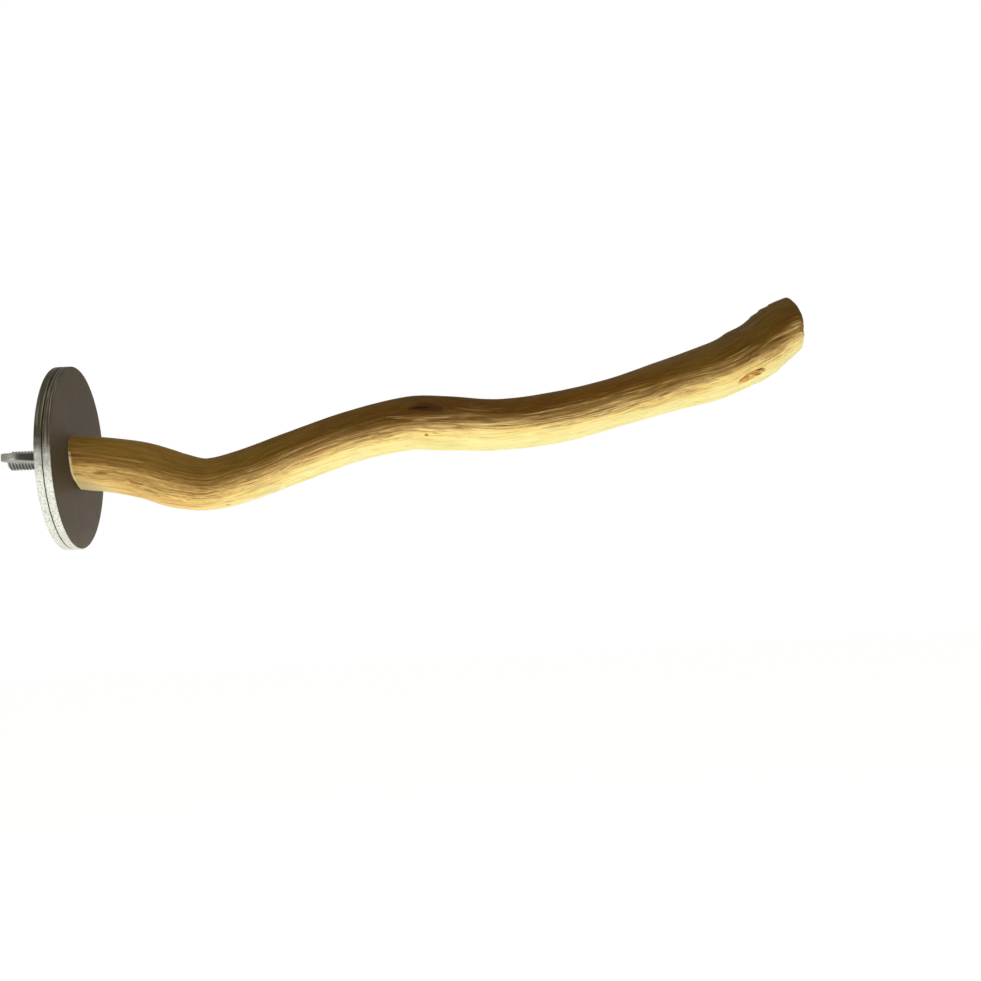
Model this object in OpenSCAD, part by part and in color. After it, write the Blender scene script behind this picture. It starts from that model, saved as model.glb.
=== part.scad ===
// Clamp-on perch: a curved wooden branch held to a cage wall by two large washers, a stud and a wing nut.
// The branch points along +X, up is +Z, and the origin is the middle of the front washer's clamping face.

/* [Branch] */
// Length of the branch from the front washer to its far end
branch_len = 301; // [180:1:420]
// Height of the middle of the far end above the middle of the root
branch_rise = 43.3; // [10:0.1:70]
// Thickness of the branch at the root
branch_d = 23; // [18:0.5:30]
// Largest sideways wander of the branch
branch_sway = 4; // [0:0.5:8]
// Distance of the middle of the root below the stud
root_drop = 2.1; // [0:0.1:4]

/* [Washers] */
// Outer diameter of both washers
washer_d = 75; // [50:1:110]
// Thickness of each washer
washer_t = 3; // [2:0.1:5]
// Radius of the washers' worn edges
washer_edge = 0.5; // [0.1:0.1:0.9]
// Free space between the washers with nothing in the clamp
jaw_gap = 0.3; // [0.2:0.1:12]

/* [Stud] */
// Diameter of the stud's machine thread
stud_d = 8; // [6:1:10]
// Pitch of the machine thread
thread_pitch = 1.25; // [1:0.05:1.5]
// Length of thread that shows past the nut with the clamp fully open
thread_spare = 1.1; // [0.5:0.1:10]
// Chamfer at the free tip of the stud
tip_chamfer = 1; // [0.2:0.1:1.8]
// Diameter of the stud's wood thread
wood_thread_d = 7.6; // [5:0.1:9]
// Length of the wood thread, its point included
wood_thread_len = 30; // [20:1:40]
// Length of the wood thread's point
wood_point_len = 9; // [3:1:15]

/* [Wing nut] */
// Diameter of the nut's foot where it bears on the rear washer
nut_foot_d = 16; // [14:0.5:22]
// Diameter of the top of the nut's boss
nut_top_d = 12.5; // [11.5:0.5:14]
// Height of the nut's boss
nut_boss_h = 8; // [6:0.5:12]
// Height of the whole nut, its wings included
nut_h = 20; // [16:0.5:26]
// Distance across the tips of the wings
nut_span = 38; // [30:1:50]
// Radius of the round tip of a wing
wing_tip_r = 4.6; // [3:0.1:5.5]
// Radius of the round root of a wing, inside the boss
wing_root_r = 3.2; // [2:0.1:3.8]
// Thickness of a wing at the boss
wing_root_t = 4.2; // [3:0.1:6]
// Thickness of a wing at its tip
wing_tip_t = 2.8; // [1.5:0.1:3]
// Chamfer at the foot and the mouth of the nut
nut_chamfer = 0.7; // [0.2:0.1:1.2]

/* [Fits] */
// Radial clearance between the stud and the washers' holes
washer_clear = 0.2; // [0.1:0.05:0.6]
// Radial clearance between the stud and the nut
thread_clear = 0.05; // [0.02:0.01:0.1]
// Clearance between the wood thread and its hole
pilot_clear = 0.05; // [0.02:0.01:0.2]
// Clearance between the nut and the rear washer
seat_clear = 0.1; // [0.05:0.05:0.3]
// Turns of the nut from the closed to the fully open clamp
open_turns = 10; // [1:1:20]

/* [Hidden] */
$fn = 96;

// Distance that the nut and the rear washer back off, and the places along the stud
open_travel = open_turns * thread_pitch;
rear_face_x = -jaw_gap - washer_t;
nut_seat_x = rear_face_x - seat_clear;
stud_tip_x = nut_seat_x - nut_boss_h - open_travel - thread_spare;

// Branch, one row for each place: place along the length, height as a share of the rise, sideways place
// as a share of the sway, section height and width as shares of the thickness, lean of the section
branch_shares = [
    [0.000,  0.000, -0.50, 0.93, 1.10, -0.30],
    [0.047, -0.042, -0.42, 0.95, 1.08, -0.23],
    [0.093, -0.115, -0.30, 0.98, 1.07, -0.30],
    [0.133, -0.216, -0.12, 0.98, 1.04, -0.20],
    [0.173, -0.268,  0.10, 0.92, 1.00, -0.10],
    [0.220, -0.207,  0.36, 0.92, 0.97, -0.05],
    [0.293, -0.041,  0.72, 0.93, 0.96,  0.00],
    [0.373,  0.138,  1.00, 0.93, 0.97,  0.06],
    [0.453,  0.238,  0.84, 0.98, 1.00,  0.10],
    [0.500,  0.221,  0.56, 0.99, 1.00,  0.08],
    [0.573,  0.181,  0.00, 0.92, 0.99,  0.00],
    [0.653,  0.222, -0.50, 0.91, 0.97, -0.08],
    [0.733,  0.337, -0.86, 0.87, 0.94, -0.06],
    [0.813,  0.485, -0.80, 0.93, 0.98,  0.04],
    [0.873,  0.596, -0.40, 1.02, 1.02,  0.08],
    [0.905,  0.682, -0.14, 1.03, 1.04,  0.08],
    [0.933,  0.785,  0.12, 1.11, 1.07,  0.06],
    [0.964,  0.921,  0.40, 1.14, 1.11,  0.02],
    [0.984,  0.997,  0.52, 1.10, 1.12,  0.00],
    [0.994,  1.026,  0.58, 1.03, 1.04,  0.00],
    [1.000,  1.000,  0.60, 0.81, 0.90,  0.00]
];

// Knots and scars, one row each: place along the length, angle around the branch from the far side
// over the top, reach along the length, reach around in degrees, height as a share of the thickness
knot_shares = [
    [0.000, 238, 0.045, 40, -0.054],
    [0.472, 140, 0.034, 30,  0.030],
    [0.476, 200, 0.016, 22,  0.020],
    [0.240, 330, 0.026, 34,  0.028],
    [0.640,  40, 0.024, 30,  0.030],
    [0.940, 100, 0.024, 60, -0.060],
    [0.911, 236, 0.026, 24, -0.060],
    [0.917, 190, 0.012, 18,  0.012],
    [0.948, 262, 0.020, 22,  0.016]
];

// Unevenness of the section all along the branch, and the turns that it makes over the length
lobe_share = 0.018;
lobe_turns = 0.6;
rib_share = 0.010;

// Shares of the length over which the section turns into the flat root and into the far end's cut
root_square_share = 0.06;
end_square_share = 0.09;
// How far the cut faces up, as a share of how far it faces along the stud
cut_slope_share = 0.11;

// Step along the length that the direction of the branch is read over, and the counts of the mesh
read_step_share = 0.003;
ring_sides = 32;
rings_per_row = 4;
arc_steps = 8;

wood_colour = [0.84, 0.71, 0.46];
dark_steel_colour = [0.33, 0.29, 0.26];
bright_steel_colour = [0.66, 0.65, 0.63];

// Points of an arc from angle a0 to angle a1
function arc_points(centre, r, a0, a1, steps = arc_steps) =
    [for (k = [0 : steps]) let (a = a0 + (a1 - a0) * k / steps) centre + r * [cos(a), sin(a)]];

function unit(v) = v / norm(v);
function ramp(s) = let (c = min(max(s, 0), 1)) c * c * (3 - 2 * c);

// Smooth curve through the rows of a table whose first column grows
function slope_at(rows, i) =
    let (a = rows[max(i - 1, 0)], b = rows[min(i + 1, len(rows) - 1)]) (b - a) / (b[0] - a[0]);
function span_of(rows, s) = max([for (i = [0 : len(rows) - 2]) if (i == 0 || rows[i][0] <= s) i]);
function row_at(rows, s) =
    let (
        i = span_of(rows, s),
        a = rows[i],
        b = rows[i + 1],
        h = b[0] - a[0],
        t = (s - a[0]) / h,
        ma = slope_at(rows, i) * h,
        mb = slope_at(rows, i + 1) * h
    )
    a * (1 + 2 * t) * pow(1 - t, 2) + ma * t * pow(1 - t, 2)
    + b * t * t * (3 - 2 * t) + mb * t * t * (t - 1);

// Middle line of the branch, and its direction
function branch_point(s) =
    let (row = row_at(branch_shares, s))
    [washer_t + s * branch_len, row[2] * branch_sway, row[1] * branch_rise - root_drop];
function branch_direction(s) =
    unit(branch_point(min(s + read_step_share, 1)) - branch_point(max(s - read_step_share, 0)));

// The section stands square to the middle line, but square to the stud at the root, and at the far end
// it lies in the cut
function section_normal(s) =
    let (
        root = ramp(1 - s / root_square_share),
        end = ramp((s - 1 + end_square_share) / end_square_share)
    )
    unit(branch_direction(s) * (1 - root - end) + [root, 0, 0] + unit([1, 0, cut_slope_share]) * end);

// How far the surface stands out at angle a, as a share of the thickness
function bell(d, reach) = abs(d) < reach ? pow(cos(90 * d / reach), 2) : 0;
function turn_between(a, b) = let (d = (a - b) % 360) d > 180 ? d - 360 : d < -180 ? d + 360 : d;
function swelling(s, a) =
    lobe_share * cos(3 * a + 360 * lobe_turns * s)
    + rib_share * cos(5 * a - 720 * lobe_turns * s)
    + total_of([for (k = knot_shares) k[4] * bell(s - k[0], k[2]) * bell(turn_between(a, k[1]), k[3])]);
function total_of(list, i = 0) = i < len(list) ? list[i] + total_of(list, i + 1) : 0;

function branch_ring(s) =
    let (
        row = row_at(branch_shares, s),
        middle = branch_point(s),
        n = section_normal(s),
        side = unit([0, 1, 0] - n * n[1]),
        up = cross(n, side),
        half_h = row[3] * branch_d / 2,
        half_w = row[4] * branch_d / 2,
        lean = row[5]
    )
    [for (j = [0 : ring_sides - 1])
        let (a = 360 * j / ring_sides, f = 1 + 2 * swelling(s, a))
        middle + side * half_w * f * (cos(a) * sqrt(1 - lean * lean) + lean * sin(a))
               + up * half_h * f * sin(a)];

// Closed solid through rings that have the same number of points
module ring_solid(rings) {
    n = len(rings[0]);
    last = len(rings) - 1;
    points = [for (r = rings) each r];
    walls = [for (i = [0 : last - 1], j = [0 : n - 1])
        let (a = i * n + j, b = i * n + (j + 1) % n, c = b + n, d = a + n)
        each [[a, d, c], [a, c, b]]];
    root_cap = [for (j = [0 : n - 1]) j];
    end_cap = [for (j = [n - 1 : -1 : 0]) last * n + j];
    polyhedron(points, concat([root_cap], walls, [end_cap]), convexity = 4);
}

// Body along the stud's axis: the profile's first number is the radius, the second the place on X
module turned(profile) {
    rotate([0, 90, 0]) rotate_extrude() polygon(profile);
}

module branch() {
    rows = branch_shares;
    places = [for (i = [0 : len(rows) - 2], k = [0 : rings_per_row - 1])
        rows[i][0] + (rows[i + 1][0] - rows[i][0]) * k / rings_per_row];
    hole_r = wood_thread_d / 2 + pilot_clear;
    hole_end = washer_t + wood_thread_len + pilot_clear;
    color(wood_colour)
    difference() {
        ring_solid([for (s = concat(places, [1])) branch_ring(s)]);
        turned([
            [0, -washer_t], [hole_r, -washer_t], [hole_r, hole_end - wood_point_len], [0, hole_end]
        ]);
    }
}

module hanger_bolt() {
    r = stud_d / 2;
    wood_r = wood_thread_d / 2;
    wood_end = washer_t + wood_thread_len;
    collar_end = washer_t - pilot_clear;
    color(bright_steel_colour)
    turned([
        [0, stud_tip_x], [r - tip_chamfer, stud_tip_x], [r, stud_tip_x + tip_chamfer],
        [r, collar_end], [wood_r, collar_end], [wood_r, wood_end - wood_point_len], [0, wood_end]
    ]);
}

// Large flat washer with worn edges, from one place on X to the next
module washer(from_x) {
    r = washer_d / 2 - washer_edge;
    bore_r = stud_d / 2 + washer_clear;
    to_x = from_x + washer_t;
    turned(concat(
        [[bore_r, from_x]],
        arc_points([r, from_x + washer_edge], washer_edge, -90, 0),
        arc_points([r, to_x - washer_edge], washer_edge, 0, 90),
        [[bore_r, to_x]]
    ));
}

module front_washer() {
    color(dark_steel_colour) washer(0);
}

module rear_washer() {
    color(dark_steel_colour) washer(rear_face_x);
}

// Outline of one wing, drawn as radius against height: a tapered link round the root and the tip
module wing_outline() {
    root = [nut_top_d / 2, nut_boss_h / 2];
    tip = [nut_span / 2 - wing_tip_r, nut_h - wing_tip_r];
    along = atan2(tip[1] - root[1], tip[0] - root[0]);
    flank = acos((wing_root_r - wing_tip_r) / norm(tip - root));
    polygon(concat(
        arc_points(tip, wing_tip_r, along - flank, along + flank, 2 * arc_steps),
        arc_points(root, wing_root_r, along + flank, along + 360 - flank, 2 * arc_steps)
    ));
}

// Wedge that thins the wing from the boss to its tip
module wing_taper() {
    root_r = nut_top_d / 2 - wing_root_r;
    tip_r = nut_span / 2;
    polygon([
        [root_r, -wing_root_t / 2], [tip_r, -wing_tip_t / 2],
        [tip_r, wing_tip_t / 2], [root_r, wing_root_t / 2]
    ]);
}

module wing() {
    intersection() {
        rotate([90, 0, 0]) linear_extrude(wing_root_t, center = true) wing_outline();
        linear_extrude(nut_h) wing_taper();
    }
}

module wing_nut() {
    bore_r = stud_d / 2 + thread_clear;
    foot_r = nut_foot_d / 2;
    top_r = nut_top_d / 2;
    color(bright_steel_colour)
    translate([nut_seat_x, 0, 0])
    rotate([0, -90, 0])
    rotate([0, 0, 90])
    difference() {
        union() {
            rotate_extrude() polygon([
                [0, 0], [foot_r - nut_chamfer, 0], [foot_r, nut_chamfer], [foot_r, 2 * nut_chamfer],
                [top_r, nut_boss_h - nut_chamfer], [top_r - nut_chamfer, nut_boss_h], [0, nut_boss_h]
            ]);
            for (turn = [0, 180]) rotate([0, 0, turn]) wing();
        }
        translate([0, 0, -nut_h]) cylinder(h = 3 * nut_h, r = bore_r);
    }
}

branch();
hanger_bolt();
front_washer();
rear_washer();
wing_nut();
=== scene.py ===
"""Looks of the clamp-on perch: stripped branch, two large washers, threaded stud and wing nut."""

import math

import bmesh
import bpy
import numpy as np
from mathutils import Matrix, Vector


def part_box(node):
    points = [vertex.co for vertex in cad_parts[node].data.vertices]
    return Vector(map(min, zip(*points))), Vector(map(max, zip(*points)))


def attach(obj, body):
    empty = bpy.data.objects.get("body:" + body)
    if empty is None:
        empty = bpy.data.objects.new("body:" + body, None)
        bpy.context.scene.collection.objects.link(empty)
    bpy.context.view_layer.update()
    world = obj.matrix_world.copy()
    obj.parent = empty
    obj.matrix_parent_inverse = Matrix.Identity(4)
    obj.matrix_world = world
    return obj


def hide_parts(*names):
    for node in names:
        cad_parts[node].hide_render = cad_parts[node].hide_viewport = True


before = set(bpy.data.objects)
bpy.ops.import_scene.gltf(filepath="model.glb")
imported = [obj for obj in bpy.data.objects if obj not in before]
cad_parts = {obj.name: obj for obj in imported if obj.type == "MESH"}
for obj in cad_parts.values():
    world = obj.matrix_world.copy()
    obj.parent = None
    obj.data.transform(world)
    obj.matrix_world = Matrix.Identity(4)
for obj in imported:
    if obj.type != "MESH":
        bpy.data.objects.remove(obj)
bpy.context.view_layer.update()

MM = 0.001
TAU = 2 * math.pi

# Sizes in mm, read from the frame
FRONT_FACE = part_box("front_washer")[1]
WASHER_R = FRONT_FACE.z / MM
ROOT_X = FRONT_FACE.x / MM
STUD_TIP_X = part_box("hanger_bolt")[0].x / MM

# Branch form in mm: length, rise of the far end, thickness, sideways wander, drop of the root below
# the stud
BRANCH_LEN = 301
BRANCH_RISE = 43.3
BRANCH_D = 23
BRANCH_R = BRANCH_D / 2
BRANCH_SWAY = 4
ROOT_DROP = 2.1

# One row for each place: place along the length, height as a share of the rise, sideways place as a
# share of the sway, section height and width as shares of the thickness, lean of the section
BRANCH_SHARES = np.array([
    [0.000, 0.000, -0.50, 0.93, 1.10, -0.30],
    [0.047, -0.042, -0.42, 0.95, 1.08, -0.23],
    [0.093, -0.115, -0.30, 0.98, 1.07, -0.30],
    [0.133, -0.216, -0.12, 0.98, 1.04, -0.20],
    [0.173, -0.268, 0.10, 0.92, 1.00, -0.10],
    [0.220, -0.207, 0.36, 0.92, 0.97, -0.05],
    [0.293, -0.041, 0.72, 0.93, 0.96, 0.00],
    [0.373, 0.138, 1.00, 0.93, 0.97, 0.06],
    [0.453, 0.238, 0.84, 0.98, 1.00, 0.10],
    [0.500, 0.221, 0.56, 0.99, 1.00, 0.08],
    [0.573, 0.181, 0.00, 0.92, 0.99, 0.00],
    [0.653, 0.222, -0.50, 0.91, 0.97, -0.08],
    [0.733, 0.337, -0.86, 0.87, 0.94, -0.06],
    [0.813, 0.485, -0.80, 0.93, 0.98, 0.04],
    [0.873, 0.596, -0.40, 1.02, 1.02, 0.08],
    [0.905, 0.682, -0.14, 1.03, 1.04, 0.08],
    [0.933, 0.785, 0.12, 1.11, 1.07, 0.06],
    [0.964, 0.921, 0.40, 1.14, 1.11, 0.02],
    [0.984, 0.997, 0.52, 1.10, 1.12, 0.00],
    [0.994, 1.026, 0.58, 1.03, 1.04, 0.00],
    [1.000, 1.000, 0.60, 0.81, 0.90, 0.00],
])

# Angles run round the branch: 90 is on top, 180 on the camera's side and 270 underneath.
# Broad swellings: place along, angle, reach along, reach around in degrees, height as a share of
# the thickness
SWELLINGS = [
    (0.000, 238, 0.045, 40, -0.054),
    (0.472, 140, 0.034, 30, 0.030),
    (0.476, 200, 0.016, 22, 0.020),
    (0.240, 330, 0.026, 34, 0.028),
    (0.640, 40, 0.024, 30, 0.030),
    (0.940, 100, 0.024, 60, -0.060),
    (0.911, 236, 0.026, 24, -0.060),
    (0.917, 190, 0.012, 18, 0.012),
    (0.948, 262, 0.020, 22, 0.016),
]

# Three lobes and five ribs of the section, as shares of the thickness, and their turns along it
LOBE_SHARE = 0.018
RIB_SHARE = 0.010
LOBE_TURNS = 0.6

# Shares of the length over which the root turns square to the stud and the end into the saw cut,
# slope of that cut, and step over which the middle line's direction is read
ROOT_SQUARE_SHARE = 0.06
END_SQUARE_SHARE = 0.09
CUT_SLOPE_SHARE = 0.11
READ_STEP_SHARE = 0.003

# Layers of noise along the grain: height, step along in mm, cells around, seed. The wavers' heights
# are in radians, the strands' in mm.
GRAIN_WAVER = [(0.05, 34, 9, 3), (0.035, 9, 21, 4)]
RIDGE_WAVER = [(0.02, 11, 3, 51)]
STRANDS = [(0.12, 38, 17, 11), (0.085, 15, 41, 12), (0.06, 5, 72, 13)]

# Slow drift of the grain round the branch in radians, the mm of length for one radian of its wave,
# and its turn at the far end: size, start and length
GRAIN_DRIFT = 0.10
GRAIN_DRIFT_MM = 47
GRAIN_END_TURN = 0.24
GRAIN_END_START = 0.925
GRAIN_END_SHARE = 0.10

# How far the grain bends round a knot, in shares of its half length and half width, and how much
KNOT_BEND_LEN = 2.0
KNOT_BEND_WIDE = 1.4
KNOT_BEND = 0.9

# Knots: place along, angle, half length and half width in mm, tilt in degrees, depth in mm
KNOTS = [
    (0.478, 151, 6.4, 2.1, 0, 0.35),
    (0.240, 330, 5.0, 2.3, 0, 0.50),
    (0.640, 40, 5.6, 2.4, 0, 0.50),
    (0.745, 300, 2.0, 1.2, 0, 0.25),
    (0.120, 75, 3.0, 1.5, 0, 0.30),
]

# Dark hearts of the knots, with the same numbers
KNOT_HEARTS = [
    (0.469, 150, 3.6, 0.6, -4, 0.25),
    (0.241, 330, 2.6, 1.0, 0, 0.30),
    (0.641, 40, 3.0, 1.1, 0, 0.30),
]

# Where scraped-off bark has left flecks, with the same numbers
FLECKED = [
    (0.135, 206, 24.0, 4.6, 0, 0),
    (0.925, 212, 13.0, 3.6, 0, 0),
]

# Small shallow marks, with the same numbers
MARKS = [
    (0.4795, 211, 0.8, 0.55, 20, 0.20),
    (0.334, 142, 1.0, 0.30, 0, 0.06),
    (0.261, 127, 0.9, 0.40, 30, 0.06),
    (0.195, 242, 0.9, 0.30, 30, 0.08),
    (0.9127, 188, 2.0, 0.34, -40, 0.20),
    (0.9200, 191.5, 1.7, 0.28, 10, 0.16),
]

# Torn pocket near the far end, the lip over it with painted shade and the deeper hole in it, painted
# dark as shade, the same way
POCKET = (0.9085, 233.5, 5.0, 2.5, 0, 0.9)
POCKET_LIP = (0.9065, 227.5, 5.1, 1.375, -3, 0)
POCKET_HOLE = (0.9205, 228, 0.9, 0.9, 0, 1.0)

# Ridges with a groove below them: place and angle of both ends, half width in degrees, height in mm
RIDGES = [
    (0.416, 158, 0.467, 181, 3.0, 0.24),
    (0.455, 181, 0.565, 162, 3.0, 0.44),
    (0.515, 187, 0.680, 180, 2.6, 0.26),
    (0.425, 193, 0.535, 191.5, 2.0, 0.12),
    (0.790, 178, 0.935, 177, 3.0, 0.26),
    (0.935, 178.4, 1.020, 196.5, 2.4, 0.52),
    (0.945, 158, 1.020, 181, 2.2, 0.24),
    (0.945, 181, 1.020, 207, 2.2, 0.30),
    (0.945, 188.6, 1.020, 212.8, 2.2, 0.30),
    (0.940, 193.5, 1.020, 219, 2.4, 0.22),
    (0.955, 212, 1.020, 230, 2.6, 0.16),
    (0.820, 190, 0.925, 186, 2.6, 0.20),
    (0.290, 190, 0.430, 180, 3.4, 0.14),
    (-0.020, 165, 0.085, 165, 2.6, 0.18),
    (-0.020, 176, 0.050, 172, 2.2, 0.12),
    (-0.020, 192, 0.125, 194, 2.4, 0.22),
]

# Share of the length over which a ridge fades at its ends, its groove's depth as a share of the ridge
# and its place below in half widths, the height in mm that has a full painted tone, caps on that
# tone, and the share of it painted on the wood: a painted highlight on a crest and painted shade in a
# groove
RIDGE_FADE_SHARE = 0.014
GROOVE_SHARE = 0.8
GROOVE_BELOW = 1.9
FULL_RIDGE_MM = 0.4
CREST_HIGHLIGHT_CAP = 1.5
GROOVE_SHADE_CAP = 0.8
RIDGE_PAINTED_LIGHT = 0.26

# Cracks along the grain: step along in mm, cells around and seed of each layer of lines and of the
# layer that opens them in places, where a line starts and its softness, how far lines are open on
# average and how much that changes, depth in mm
CRACK_LAYERS = [((24, 36, 21), (18, 13, 31)), ((12, 58, 22), (18, 13, 32))]
CRACK_START = 0.52
CRACK_SOFTNESS = 0.3
CRACK_OPEN = 0.3
CRACK_CHANGE = 1.8
CRACK_DEPTH = 0.20

# How much rougher the surface is towards the far end and the root, and how much calmer on top. The
# top starts at a sine of the angle and is full a softness further on.
ROUGHER_END = 0.5
ROUGHER_END_START = 0.86
ROUGHER_ROOT = 0.2
ROUGHER_SHARE = 0.12
CALMER_TOP = 0.35
TOP_START = 0.2
TOP_SOFTNESS = 0.5

# Raised collar round a knot: its distance and width in shares of the knot, height against the depth
COLLAR_AT = 1.4
COLLAR_WIDTH = 0.35
COLLAR_SHARE = 0.5

# Where the fall into a knot, a mark, the torn pocket and its hole begins, in shares of their size,
# and over how much the last two fall
KNOT_EDGE = 1.15
MARK_EDGE = 1.3
POCKET_EDGE = 1.12
POCKET_FALL = 0.5
HOLE_EDGE = 1.2
HOLE_FALL = 0.6

# Noise on the rim and on the floor of the torn pocket, with the numbers of the layers above, and
# the mean of the floor as a share of its depth
POCKET_RIM = [(0.30, 1.6, 70, 31)]
POCKET_FLOOR = [(0.25, 2.2, 80, 32)]
POCKET_MEAN = 0.75

# Low steps on the upper side near the far end: place along, angle, depth in mm, mm of fall before
# it. Then half the angle that they reach round, and the mm over which they end.
STEPS = [(0.9507, 100, 0.35, 6), (0.9600, 102, 0.60, 3), (0.9700, 100, 0.35, 4)]
STEP_HALF_DEG = 55
STEP_BACK_MM = 0.5

# Place along, how steeply the painted shade of the upper side falls off to the painted light of the
# lower side, and how far the painted shade reaches down, with a layer of noise on it
PAINTED_SHADE_EDGE_BY_PLACE = np.array([
    (0.000, 1.05, -0.18), (0.035, 0.92, -0.07), (0.060, 0.96, 0.08), (0.090, 0.90, 0.17),
    (0.125, 0.90, 0.17), (0.163, 1.03, 0.21), (0.188, 1.17, 0.21), (0.213, 1.20, 0.19),
    (0.238, 1.14, 0.14), (0.263, 1.15, 0.15), (0.288, 1.20, 0.08), (0.313, 1.20, 0.01),
    (0.375, 1.16, 0.04), (0.413, 1.22, 0.02), (0.438, 1.25, 0.08), (0.463, 1.25, 0.07),
    (0.488, 1.15, 0.01), (0.513, 1.02, -0.08), (0.538, 0.98, -0.14), (0.563, 1.08, -0.15),
    (0.588, 1.24, -0.10), (0.613, 1.35, -0.06), (0.650, 1.20, -0.05), (0.690, 1.18, 0.03),
    (0.720, 1.12, 0.08), (0.790, 1.28, 0.20), (0.838, 1.33, 0.22), (0.863, 1.40, 0.19),
    (0.888, 1.27, 0.15), (0.913, 1.30, 0.20), (0.938, 1.68, 0.42), (0.963, 1.58, 0.46),
    (0.988, 1.35, 0.27), (1.000, 1.25, 0.28),
])
TONE_WAVER = [(0.05, 20, 12, 41)]

# Places along, and how bright the painted shade of the upper side is there; above 1 near the root it
# is painted light against the washers' shade. It starts and is full like the top.
PAINTED_SHADE_BY_PLACE = (
    (0.00, 0.02, 0.10, 0.30, 0.47, 0.60, 0.72, 0.87, 1.00),
    (1.70, 1.48, 1.27, 1.00, 0.68, 0.80, 0.90, 0.88, 0.70),
)
PAINTED_SHADE_START = -0.25
PAINTED_SHADE_SOFTNESS = 0.5

# Points round the branch, and shares of the length where its rings stand, closer near the far end
BRANCH_SIDES = 144
CLOSE_START = 0.975
BRANCH_RINGS = np.concatenate([
    np.linspace(0, CLOSE_START, 600, endpoint=False),
    np.linspace(CLOSE_START, 1, 34),
])

# Shares of the length over which the relief fades at the root and at the far end, and what is left
# of it there
ROOT_FADE_SHARE = 0.01
END_FADE_SHARE = 0.012
FADED_RELIEF = 0.25

# Chips along the far rim: where they start, the share of the length that they take, depth in mm, and
# step along in mm, cells around and seed of their noise
CHIP_START = 0.985
CHIP_SHARE = 0.015
CHIP_DEPTH = 0.6
CHIP_CELLS = (3, 31, 61)

# Far end: pith beside the middle in mm, rings of the sawn face as shares of its rim, share of the
# rim inside which the face is sunk, and by how many mm
PITH_OFFSET = (0, 1.2, -1.6)
END_RINGS = (0.985, 0.96, 0.92, 0.86, 0.78, 0.68, 0.57, 0.45, 0.33, 0.21, 0.10)
END_SUNK_INSIDE = 0.97
END_SINK = 0.06

# Cracks in it from the pith: angle and half width in degrees of each, then the share of the rim
# where they start, the share over which they deepen, and their depth in mm
END_CRACKS = ((70, 3.0), (152, 2.2), (205, 3.4), (290, 2.6), (338, 2.0))
END_CRACK_START = 0.12
END_CRACK_GROWTH = 0.2
END_CRACK_DEPTH = 0.5

# Saw marks on it: depth in mm, radians of their wave for each mm up, and how far in radians that
# wave bends to and fro, with the radians of the bend for each mm across
SAW_DEPTH = 0.05
SAW_RAD_PER_MM = 2.2
SAW_BEND = 0.4
SAW_BEND_RAD_PER_MM = 0.6

# Year rings of the end grain: radians of their wave for each mm, and their waver in mm
RING_RAD_PER_MM = 5.2
RING_WAVER_MM = 2.2

# Bore for the bolt's wood thread in mm, and rings of the root's face as shares of its rim
PILOT_R = 3.85
PILOT_LEN = 30.05
PILOT_POINT = 9.0
ROOT_RINGS = (0.9, 0.6, 0.3, 0.0)

# Stud in mm: thread's crest and root, its pitch, radii at the tip and at the branch, gap to the
# branch, and points round it
STUD_CREST_R = 3.95
STUD_ROOT_R = 3.35
STUD_PITCH = 1.25
STUD_TIP_R = 3.0
STUD_INNER_R = 3.6
STUD_GAP = 0.05
STUD_SIDES = 64

# One turn of the thread: share of the pitch, height from root to crest. Then the mm within which
# points are merged and faces are too thin to keep.
THREAD_SHAPE = [(0.00, 1.0), (0.125, 1.0), (0.42, 0.06), (0.50, 0.0), (0.58, 0.06), (0.875, 1.0)]
MERGE_MM = 0.002
THIN_MM = 0.0005

# Washers in mm: bore, round of the outer edge, bevel of the bore, rings of the flat faces, and
# points round them
WASHER_BORE_R = 4.2
WASHER_EDGE = 0.5
WASHER_LIP = 0.25
WASHER_RINGS = (9, 16, 23, 30, 34.5)
WASHER_SIDES = 256

# Wing nut: voxel in mm and rounds of smoothing that give it a casting's soft edges
NUT_VOXEL_MM = 0.35
NUT_ROUNDS = 8

# How bright the cloudy patches of zinc plating are, against the rest
CLOUD_SHARE = 0.78

# Camera of the photograph: place in metres, turns in radians, lens in mm
CAMERA_PLACE = (0.1530, -0.5180, -0.0520)
CAMERA_YAW = 0.035
CAMERA_PITCH = 0.059
CAMERA_ROLL = -0.050
CAMERA_LENS = 46.02
SENSOR_WIDTH = 36.0

# Lamps: name, place, target, width and height in metres, watts
LAMPS = [
    ("key", (0.15, -0.45, -0.27), (0.14, 0.0, 0.0), (0.8, 0.16), 1.9),
    ("fill", (0.35, -0.30, 0.70), (0.13, 0.0, 0.0), (0.3, 0.3), 0.6),
    ("back", (0.20, 0.55, -0.10), (0.14, 0.0, 0.0), (0.8, 0.3), 1.4),
]

# Floor in metres: height, half width, middle, and the spot under the perch where its shadow falls
FLOOR_Z = -0.30
FLOOR_HALF = 3.0
FLOOR_X = 0.15
SHADOW_SPOT = (0.14, 0.0, FLOOR_Z)


def smooth(x):
    """Soft step from 0 at 0 to 1 at 1."""
    x = np.clip(x, 0, 1)
    return x * x * (3 - 2 * x)


def unit(v):
    return v / np.linalg.norm(v, axis=-1, keepdims=True)


def turn_between(a, b):
    """Angle from b to a, the shorter way round."""
    return (a - b + math.pi) % TAU - math.pi


def bell(d, reach):
    """1 at distance 0, falling softly to 0 at the reach."""
    return np.where(np.abs(d) < reach, np.cos(math.pi / 2 * d / reach) ** 2, 0)


# Middle line and sections of the branch

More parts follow.
